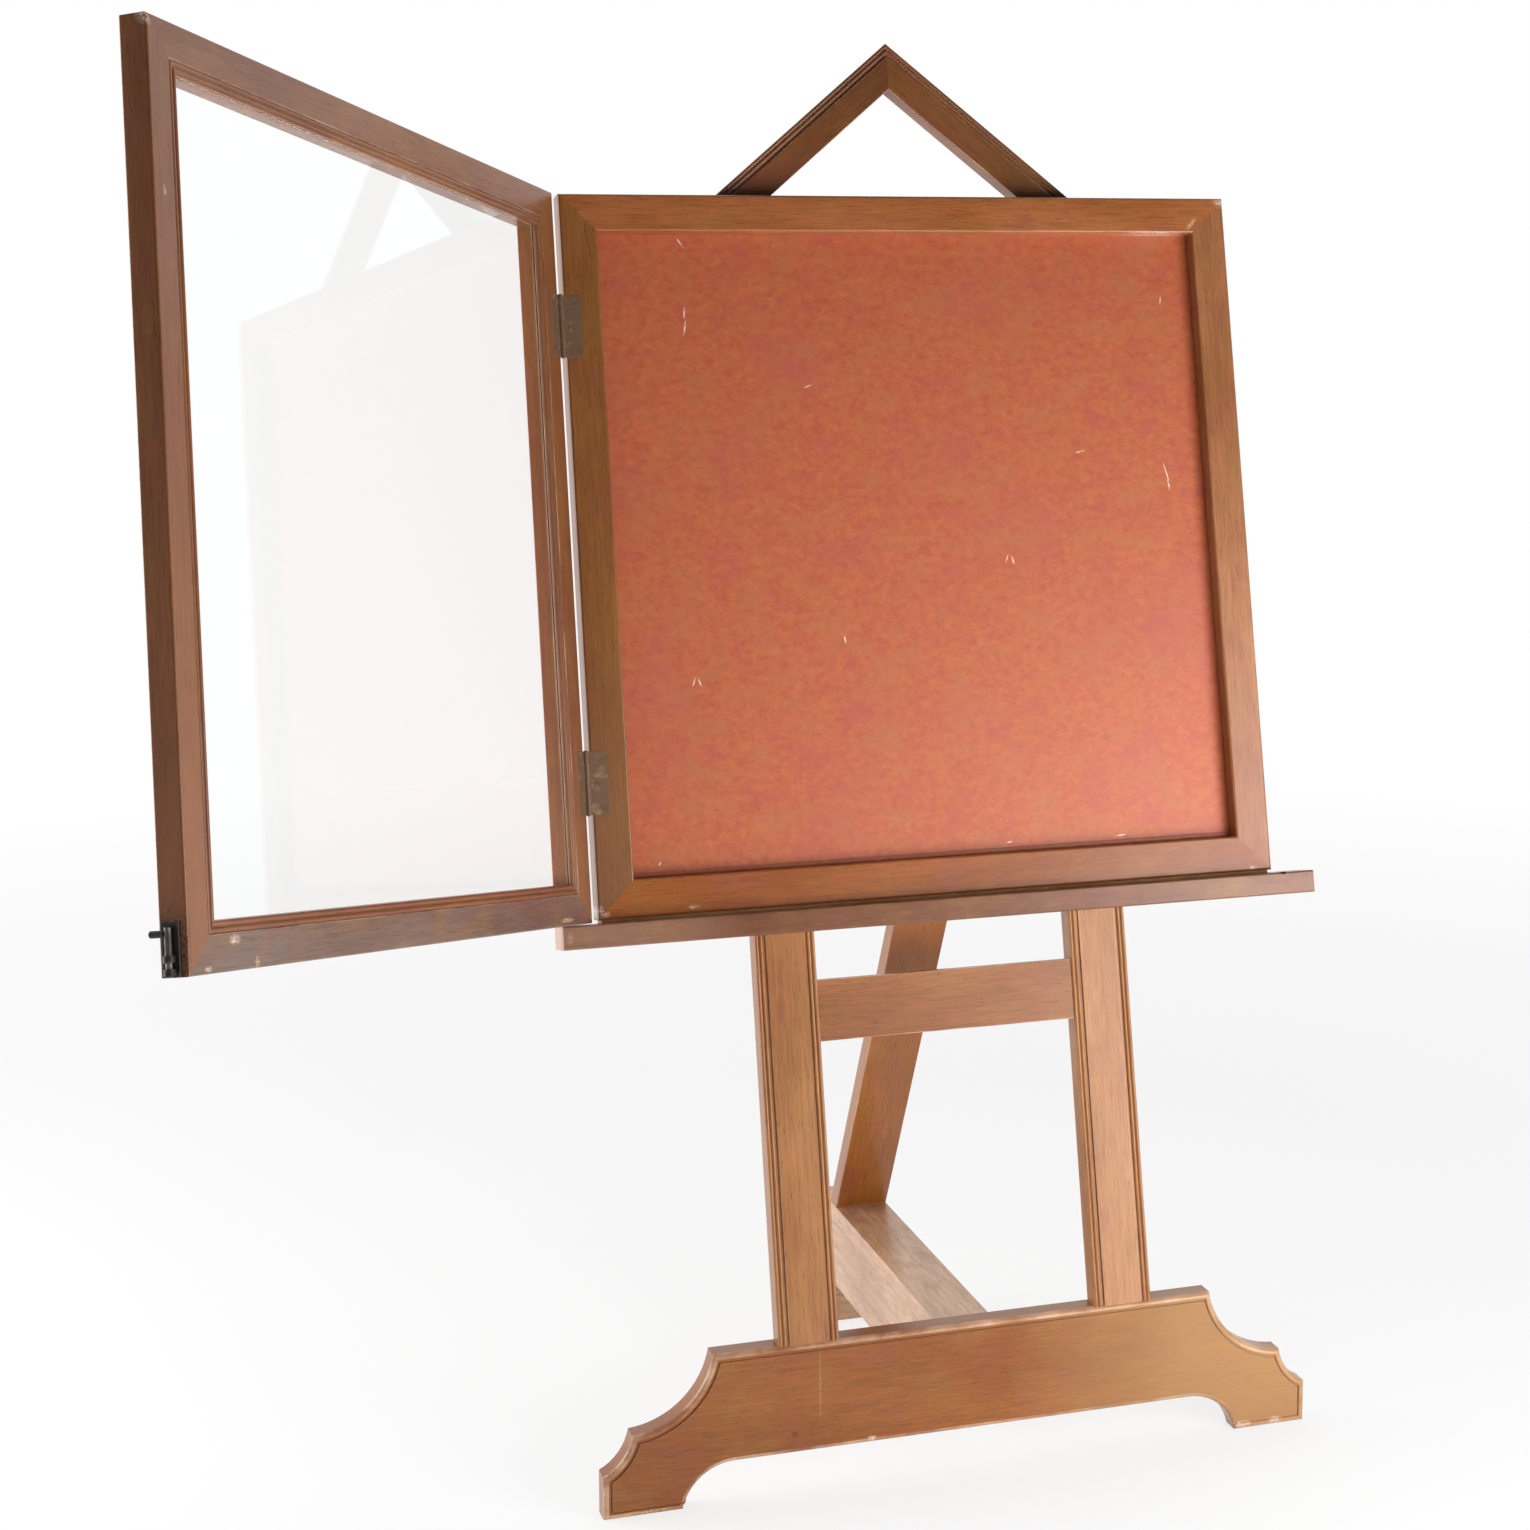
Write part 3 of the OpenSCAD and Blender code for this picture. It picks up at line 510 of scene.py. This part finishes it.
BOARDS = [
    ("left_leg", "stand", "frame_wood", UP_SLOPE, LEG),
    ("right_leg", "stand", "frame_wood", UP_SLOPE, LEG),
    ("cross_rail", "stand", "frame_wood", ACROSS, RAIL),
    ("upper_rail", "stand", "frame_wood", ACROSS, GABLE),
    ("left_gable_arm", "stand", "frame_wood", LEFT_ARM, GABLE),
    ("right_gable_arm", "stand", "frame_wood", RIGHT_ARM, GABLE),
    ("shelf", "stand", "case_wood", ACROSS, SHELF),
    ("beam_top", "stand", "beam_wood", BACK, BEAM),
    ("beam_rail", "stand", "beam_wood", BACK, BEAM),
    ("rear_foot", "stand", "beam_wood", ACROSS, BEAM),
    ("strut", "stand", "frame_wood", UP_STRUT, STRUT),
    ("case_left_stile", "stand", "case_wood", UP_SLOPE, CASE_LEFT),
    ("case_right_stile", "stand", "case_wood", UP_SLOPE, CASE_RIGHT),
    ("case_top_rail", "stand", "case_wood", ACROSS, CASE_TOP),
    ("case_bottom_rail", "stand", "case_wood", ACROSS, CASE_LOW),
    ("door_hinge_stile", "door", "door_wood", UP_SLOPE, DOOR),
    ("door_lock_stile", "door", "door_wood", UP_SLOPE, DOOR),
    ("door_top_rail", "door", "door_wood", ALONG_DOOR, DOOR),
    ("door_bottom_rail", "door", "door_wood", ALONG_DOOR, DOOR_LOW_HAZE),
    ("left_bead", "door", "door_wood", UP_SLOPE, DOOR),
    ("right_bead", "door", "door_wood", UP_SLOPE, DOOR),
    ("top_bead", "door", "door_wood", ALONG_DOOR, DOOR),
    ("bottom_bead", "door", "door_wood", ALONG_DOOR, DOOR),
]
print("boards to stain:", len(BOARDS))

# %% [markdown]
# ## Knocks, rubbed places and painted light
# A stand that has been carried about has knocks at its corners, where the stain is off, a crack in
# the case's left stile, and a dark oily patch round the bolt. The case's lower left corner, the
# shelf's left end and the door's lower corner are painted paler and greyer, as painted light and
# haze. Each mark is a soft spot of another colour, laid at a place that is measured on its board.
# A small mark is broken up by noise, as a chip is, and a broad one, which is painted light, stays
# smooth. The pale spot on the door's upper corner is a painted highlight, and the pale line on the
# case's inner top arris is bare wood with a painted highlight.

# %% The paints of the marks
# Bare wood, and at two places a painted highlight.
BARE_AND_HIGHLIGHT = "e6cdbb"
CHIP = "dcb48a"
OILY = "24140e"
SMOKED = "4a3c34"
RED = "8c4636"
# Painted light and haze: paler, greyer tones laid broad on the case, the shelf and the door.
CASE_PAINTED_LIGHT = "77533c"
SHELF_PAINTED_LIGHT = "dcb4a2"
DOOR_PAINTED_HAZE = "946242"


# %% Marks on the case and the shelf
MARK_DEPTH = 0.05


def turned_on_case(turn):
    """The axes of the case, turned from level by an angle in degrees."""
    return Matrix.Rotation(math.radians(turn), 3, OUT_OF_SLOPE) @ FACING


def place_on_case(right, above):
    """A place on the case, from the panel's middle, in mm."""
    return MIDDLE + (ACROSS * right + UP_SLOPE * above) * MM


def on_case(right, above, turn, half_length, half_width, paint):
    """A mark on the case, placed from the panel's middle, in mm and degrees from level."""
    size = (half_length * MM, half_width * MM, MARK_DEPTH)
    return turned_on_case(turn), place_on_case(right, above), size, paint


MARKS = {
    "case_top_rail": [on_case(377, 376, 0, 11, 8, BARE_AND_HIGHLIGHT), on_case(340, 351, 45, 12, 4, CHIP),
                      # The long pale line on the inner top arris is bare wood with a painted highlight.
                      on_case(296, 341, 0, 45, 2, BARE_AND_HIGHLIGHT), on_case(222, 337, 0, 12, 2.4, CHIP),
                      on_case(159, 334, 0, 3, 2.5, CHIP), on_case(-60, 380, 0, 260, 2.5, SMOKED)],
    "case_right_stile": [on_case(377, 376, 0, 9, 9, BARE_AND_HIGHLIGHT), on_case(357, -371, 0, 8, 4, CHIP)],
    "case_left_stile": [on_case(-362, -330, 0, 60, 300, CASE_PAINTED_LIGHT),
                        on_case(-352, 330, -82, 32, 1.3, OILY), on_case(-379, -372, 0, 6, 8, BARE_AND_HIGHLIGHT)],
    "case_bottom_rail": [on_case(267, -379, 0, 3, 3, OILY), on_case(358, -377, 0, 6, 3, CHIP),
                         on_case(-376, -375, 0, 10, 5, BARE_AND_HIGHLIGHT), on_case(-280, -374, 0, 8, 3, CHIP)],
    "shelf": [on_case(-400, -396, 0, 300, 60, SHELF_PAINTED_LIGHT), on_case(395, -388, 0, 4, 4, OILY),
              on_case(-415, -396, 90, 14, 7, BARE_AND_HIGHLIGHT)],
}
print("marked", sum(len(marks) for marks in MARKS.values()), "places on the case and the shelf")


# %% Marks on the door
def on_door(inward, above, deep, size, paint):
    """A mark on the door, placed from the lower outer corner of its inner face, in mm."""
    centre = DOOR_CORNER + (UP_SLOPE * above + OUT_OF_DOOR * deep - ALONG_DOOR * inward) * MM
    return DOOR_FACING, centre, [half * MM for half in size], paint


DOOR_MARKS = {
    "door_bottom_rail": [on_door(102, 5, 0, (4, 6, 8), CHIP), on_door(69, 25, 0, (10, 5, 8), BARE_AND_HIGHLIGHT),
                         on_door(28, 4, 0, (6, 3, 8), BARE_AND_HIGHLIGHT), on_door(700, 6, 0, (18, 3, 6), CHIP)],
    "door_hinge_stile": [on_door(718, 5, 0, (8, 4, 6), BARE_AND_HIGHLIGHT), on_door(755, 4, 0, (6, 4, 6), BARE_AND_HIGHLIGHT)],
    "door_lock_stile": [on_door(15, 40, 0, (60, 220, 60), DOOR_PAINTED_HAZE),
                        on_door(0, 20, 14, (8, 46, 26), OILY), on_door(0, 413, 14, (6, 12, 12), RED),
                        # The pale spot at the upper corner is a painted highlight.
                        on_door(16, 622, 0, (3, 5, 6), CHIP), on_door(0, 762, 0, (12, 10, 12), BARE_AND_HIGHLIGHT)],
}
MARKS.update(DOOR_MARKS)
print("marked", sum(len(marks) for marks in DOOR_MARKS.values()), "places on the door")

# %% Work the boards
ARRIS = 0.0009
for number, (node, body, slot, grain, stain) in enumerate(BOARDS):
    board = copy_of(node)
    ease(board, ARRIS, along=grain, shortest=0.04)
    finish = wood(node, grain, *stain, start=number + 1, marks=MARKS.get(node, ()))
    finish_piece(board, node, finish, body)
print("worked", len(BOARDS), "boards")

# %% [markdown]
# ## The front foot
# The foot's front edge is worked into a rounded border, inside a fine quirk line. On the bench this
# is one pass of a moulding plane and a scratch stock round the outline. Here the edges of the
# outline are picked by where they lie, on the front face and off the quirk, and beveled round.

# %% Work the moulded border of the foot
BORDER = 0.0052
QUIRK_DEPTH = 0.004
foot = copy_of("front_foot")
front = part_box("front_foot")[0].y
mesh = open_mesh(foot)
for edge in mesh.edges:
    on_front = all(abs(vertex.co.y - front) < 0.01 * MM for vertex in edge.verts)
    outline = any(abs(face.normal.y) < 0.1 and face.calc_center_median().y > front + QUIRK_DEPTH
                  for face in edge.link_faces)
    edge.select_set(on_front and outline)
round_selected(foot, BORDER, segments=4, clamp=False)
print("foot", len(foot.data.polygons), "faces")


# %% Marks and finish of the foot
def on_foot(right, height, size, paint):
    """A mark on the front of the foot, placed from the stand's centre line and the floor, in mm."""
    upright = Matrix((ACROSS, UP, -BACK)).transposed()
    return upright, Vector((right * MM, front, height * MM)), [half * MM for half in size], paint


FOOT_MARKS = [
    # Painted reflection: the broad pale spot on the right end stands for the sheen of the polish there.
    on_foot(400, 100, (360, 300, 30), "b08c60"),
    on_foot(-166, 117, (1.4, 50, 10), "a67a50"),
    on_foot(-194, 66.5, (4, 4, 10), OILY),
    on_foot(-109, 50, (6, 4, 10), BARE_AND_HIGHLIGHT),
    on_foot(323, 6, (12, 5, 10), BARE_AND_HIGHLIGHT),
    on_foot(362, 6, (10, 5, 10), BARE_AND_HIGHLIGHT),
    on_foot(-360, 4, (50, 3, 10), CHIP),
]
foot_finish = wood("front_foot", ACROSS, *FOOT, start=31, marks=FOOT_MARKS)
finish_piece(foot, "front_foot", foot_finish, "stand")
print("marked", len(FOOT_MARKS), "places on the foot")

# %% [markdown]
# ## The panel
# The back of the case is a board covered in brick-red leathercloth, printed with a soft mottle. The
# covering is a little uneven over its board. A grid is the right start, because the unevenness
# needs points to move.

# %% Model the panel
GRID = 64
bpy.ops.object.select_all(action="DESELECT")
bpy.ops.mesh.primitive_grid_add(x_subdivisions=GRID, y_subdivisions=GRID, size=1,
                                location=MIDDLE + OUT_OF_SLOPE * (panel_t / 2),
                                rotation=FACING.to_euler())
panel = bpy.context.object
panel.name = "covered_panel"
panel.scale = (panel_w, panel_h, 1)
bpy.ops.object.transform_apply()
print("the grid has", len(panel.data.vertices), "points")

# %% Unevenness and thickness of the panel
WAVE = 0.11
WAVE_DEPTH = 0.0006
BOARD_SHARE = 0.7
clouds = bpy.data.textures.new("unevenness", "CLOUDS")
clouds.noise_scale = WAVE
uneven = panel.modifiers.new("uneven", "DISPLACE")
uneven.texture = clouds
uneven.texture_coords = "LOCAL"
uneven.strength = WAVE_DEPTH
uneven.mid_level = 1
pick(panel)
bpy.ops.object.modifier_apply(modifier="uneven")
open_mesh(panel)
bpy.ops.mesh.select_all(action="SELECT")
thickness = OUT_OF_SLOPE * (panel_t * BOARD_SHARE)
bpy.ops.mesh.extrude_region_move(TRANSFORM_OT_translate={"value": -thickness})
bpy.ops.mesh.select_all(action="SELECT")
bpy.ops.mesh.normals_make_consistent(inside=False)
close_mesh(panel)
print("panel", len(panel.data.polygons), "faces")

# %% [markdown]
# ## Leathercloth
# The print is a mottle of orange, brick and rose a few millimetres across, over softer clouds of a
# few centimetres and a finer brown speckle. A dark line above the fold along the lower edge is
# painted shade, the shadow of the turned edge. Things were pinned and hung here, so there are short
# pale scratches. Each scratch is a long thin spot at a place given in a list.

# %% Where the scratches are
# Distance right of and above the panel's middle, turn from level in degrees, half length, in mm.
SCRATCHES = [
    (-248, 332, 125, 9), (-248, 256, 85, 8), (-248, 242, 80, 12), (-116, 175, 20, 6),
    (304, 268, 80, 6), (194, 97, 12, 9), (296, 72, 105, 13), (298, 58, 100, 8),
    (99, -20, 70, 6), (106, -22, 105, 6), (-92, -101, 100, 5), (-261, -139, 70, 6),
    (-255, -139, 110, 6), (-309, -327, 60, 3), (210, -331, 5, 9), (80, -330, 10, 4),
]
SCRATCH_WIDTH = 0.001
SCRATCH_DEPTH = 0.01
# The painted shade above the fold: its half sizes along, up and out of the panel, and its height above
# the lower edge.
FOLD_SHADE_LINE = (0.6, 0.0014, 0.05)
FOLD_SHADE_ABOVE = 0.007
print("the covering has", len(SCRATCHES), "scratches")


# %% The leathercloth recipe
def leathercloth():
    """Mottled brick-red covering with scratches."""
    recipe = Recipe("leathercloth")
    level = recipe.turned(FACING, (0, 0, 0), (1.35, 1, 1))
    mottle = recipe.noise(level, 130, 6, 0.75, 0.3)
    cloud = recipe.noise(recipe.place, 9, 3, 0.5)
    blush = recipe.noise(level, 34, 5, 0.6)
    speck = recipe.noise(level, 280, 3, 0.6)
    colour = recipe.mix(recipe.ramp(mottle, 0.34, 0.66), tone("a54d34"), tone("ba653b"))
    colour = recipe.layer(colour, cloud, 0.5, 0.75, 0.5, "ab554a")
    colour = recipe.layer(colour, blush, 0.5, 0.66, 0.5, "a8653e")
    colour = recipe.layer(colour, blush, 0.46, 0.32, 0.45, "a94c46")
    colour = recipe.layer(colour, speck, 0.55, 0.75, 0.35, "925945")
    # Painted shade: a dark line just above the turned edge, where its shadow falls on the covering.
    edge = MIDDLE - UP_SLOPE * (panel_h / 2 - FOLD_SHADE_ABOVE)
    colour = recipe.mix(recipe.spot(FACING, edge, FOLD_SHADE_LINE), colour, tone("8a3a2a"))
    marks = 0.0
    for right, above, turn, half in SCRATCHES:
        line = recipe.spot(turned_on_case(turn), place_on_case(right, above),
                           (half * MM, SCRATCH_WIDTH, SCRATCH_DEPTH))
        marks = recipe.math("MAXIMUM", marks, line)
    broken = recipe.math("MULTIPLY", marks, recipe.ramp(speck, 0.36, 0.56, 0.1, 1))
    colour = recipe.mix(broken, colour, tone("f0d8c8"))
    pebble = recipe.noise(recipe.place, 900, 2, 0.6)
    return recipe.surface(Base_Color=colour, Roughness=recipe.ramp(mottle, 0.3, 0.7, 0.38, 0.46),
                          Normal=recipe.bump(pebble, strength=0.35, distance=0.0003))


CLOTH = leathercloth()
print("mixed", CLOTH.name, "from", len(CLOTH.node_tree.nodes), "nodes")

# %% Finish the panel
PANEL_SMOOTH = math.radians(35)
panel.data.materials.append(CLOTH)
pick(panel)
bpy.ops.object.shade_smooth_by_angle(angle=PANEL_SMOOTH)
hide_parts("display_panel")
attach(panel, "stand")
print("covered the panel with", CLOTH.name)

# %% [markdown]
# ## The turned edge
# Along the lower rail the covering is folded over and pressed flat, which leaves a narrow strip that
# stands a little proud of the panel. It is a thin bar, with its long edges rounded by the fold.

# %% Model the turned edge
FOLD_H = 0.0052
FOLD_T = 0.0009
FOLD_ROUND = 0.0004
FOLD_GAP = 0.0005
fold_half = reach("case_top_rail", ACROSS)[1] - CASE_FRAME - FOLD_GAP
above_middle = rail_top + FOLD_H / 2 - MIDDLE.dot(UP_SLOPE)
fold_place = MIDDLE + UP_SLOPE * above_middle + OUT_OF_SLOPE * (panel_t + FOLD_T) / 2
bpy.ops.object.select_all(action="DESELECT")
bpy.ops.mesh.primitive_cube_add(size=1, location=fold_place, rotation=FACING.to_euler())
fold = bpy.context.object
fold.name = "turned_edge"
fold.scale = (2 * fold_half, FOLD_H, FOLD_T)
bpy.ops.object.transform_apply()
ease(fold, FOLD_ROUND, along=ACROSS)
pick(fold)
bpy.ops.object.shade_smooth_by_angle(angle=SMOOTH)
fold.data.materials.append(CLOTH)
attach(fold, "stand")
print("turned edge", [round(x, 4) for x in fold.dimensions])

# %% [markdown]
# ## Glass
# The door's pane is clear sheet glass with its edges ground, and a film of dust blurs it here and
# there. It bends the light less than real glass does, because the whole room is white here, and
# real glass would show too much of it.


# %% The glass recipe
def clear_glass():
    """Old sheet glass, a little dusty."""
    recipe = Recipe("clear_glass")
    film = recipe.noise(recipe.place, 5, 4, 0.6)
    return recipe.surface(Base_Color=(0.99, 1, 0.995, 1), Transmission_Weight=1, IOR=1.26,
                          Roughness=recipe.ramp(film, 0.4, 0.8, 0, 0.008))


# %% Work the pane
GROUND = 0.0004
pane = copy_of("door_glass")
ease(pane, GROUND, shortest=0.1)
finish_piece(pane, "door_glass", clear_glass(), "door")
print("pane", [round(x, 3) for x in pane.dimensions])

# %% [markdown]
# ## Metal
# The hinges are brass gone brown, with bright spots where fingers rub them. The bolt is blackened
# iron with a steel rod. One recipe makes them all: a base metal, a tarnish laid over it in patches,
# and bare metal on the edges.

# %% The metal recipe
PATCH_EDGE = 0.18
EDGE_BARE = 0.7


def metal(name, base, tarnish, cover):
    """Old metal: a share of it is covered with tarnish, and its edges are rubbed bare."""
    recipe = Recipe(name)
    patch = recipe.noise(recipe.place, 90, 3, 0.55)
    fine = recipe.noise(recipe.place, 900, 3, 0.6)
    covered = recipe.ramp(patch, cover, cover + PATCH_EDGE, 1, 0.25)
    bare = recipe.math("MULTIPLY", recipe.worn(), EDGE_BARE)
    covered = recipe.math("SUBTRACT", covered, bare)
    colour = recipe.mix(recipe.ramp(covered, 0, 1), tone(base), tone(tarnish))
    return recipe.surface(Base_Color=colour, Metallic=recipe.ramp(covered, 0, 1, 1, 0.3),
                          Roughness=recipe.ramp(fine, 0.3, 0.7, 0.42, 0.62),
                          Normal=recipe.bump(fine, strength=0.3, distance=0.0002))


BRASS = metal("aged_brass", "b89c78", "70553f", cover=0.56)
IRON = metal("black_iron", "8a8680", "2e2a28", cover=0.6)
STEEL = metal("worn_steel", "8c8884", "4c4844", cover=0.5)
print("mixed", BRASS.name, IRON.name, STEEL.name)

# %% Work the metal pieces
FILED = 0.0002
METALS = [
    ("upper_case_leaf", "stand", "hinge_brass", BRASS),
    ("lower_case_leaf", "stand", "hinge_brass", BRASS),
    ("upper_door_leaf", "door", "hinge_brass", BRASS),
    ("lower_door_leaf", "door", "hinge_brass", BRASS),
    ("bolt_plate", "door", "bolt_iron", IRON),
    ("bolt_guides", "door", "bolt_iron", IRON),
    ("bolt_rod", "bolt", "bolt_steel", STEEL),
    ("bolt_knob", "bolt", "bolt_iron", IRON),
]
for node, body, slot, finish in METALS:
    fitting = copy_of(node)
    ease(fitting, FILED, shortest=0.0012)
    finish_piece(fitting, node, finish, body)
print("worked", len(METALS), "fittings")

# %% [markdown]
# ## Pieces that keep their ready-cut shape
# Screws, dowels, hinge pins, the plain back of the case and the packing strip under the case need
# no more shape. They stay as they came and only get a finish.

# %% Finish the rest
KEPT = {
    "hinge_brass": ["upper_hinge_pin", "lower_hinge_pin", "case_leaf_screws", "door_leaf_screws"],
    "bolt_iron": ["bolt_screws"],
    "screw_steel": ["shelf_screws", "strut_screws", "case_screws"],
    "dowel_wood": ["gable_dowels", "rear_foot_dowels"],
    "back_wood": ["case_back", "case_packing"],
}
FINISHES = {
    "hinge_brass": BRASS,
    "bolt_iron": IRON,
    "screw_steel": STEEL,
    "dowel_wood": wood("dowel_wood", UP_SLOPE, "8c6a48", "ad8960", start=41),
    # The back and the packing strip get a pale tone, as painted light that lifts the shade they lie in
    # under the case.
    "back_wood": wood("back_wood", ACROSS, "a87850", "c49468", start=42, wax=0),
}
for slot, names in KEPT.items():
    for name in names:
        frame["nodes"][name].data.materials.clear()
        frame["nodes"][name].data.materials.append(FINISHES[slot])
print("finished", sum(len(names) for names in KEPT.values()), "ready-cut pieces")

# %% [markdown]
# ## Floor
# The floor is a pale sheet that runs out into the white of the room. To the eye it glows a little,
# so it stays near white, but it keeps the easel's shadow.

# %% The floor recipe
GREY = (0.86, 0.86, 0.86, 1)
WHITE = (1, 1, 1, 1)


def pale_floor():
    """White paint that is partly its own light to the camera, fully so far away."""
    recipe = Recipe("pale_floor")
    nodes = recipe.tree.nodes
    paint = recipe.node("BsdfDiffuse", {"Color": GREY})
    glow = recipe.node("Emission", {"Color": WHITE, "Strength": 1})
    seen = nodes.new("ShaderNodeLightPath").outputs
    looked_at = recipe.math("MAXIMUM", seen["Is Camera Ray"], seen["Is Glossy Ray"])
    looked_at = recipe.math("MAXIMUM", looked_at, seen["Is Transmission Ray"])
    away = recipe.node("VectorMath", {0: recipe.place}, "Value", operation="LENGTH")
    share = recipe.math("MULTIPLY", recipe.ramp(away, 1, 3.5, 0.75, 1), looked_at)
    mixed = recipe.node("MixShader", {0: share, 1: paint, 2: glow})
    recipe.put(nodes["Material Output"].inputs["Surface"], mixed)
    return recipe.material


# %% Lay the floor
bpy.ops.object.select_all(action="DESELECT")
bpy.ops.mesh.primitive_plane_add(size=30, location=(0, 0, 0))
floor = bpy.context.object
floor.name = "floor"
floor.data.materials.append(pale_floor())
print("the floor measures", [round(x) for x in floor.dimensions[:2]], "metres")

# %% Colour settings
bpy.context.scene.view_settings.view_transform = "Standard"
print("view transform", bpy.context.scene.view_settings.view_transform)
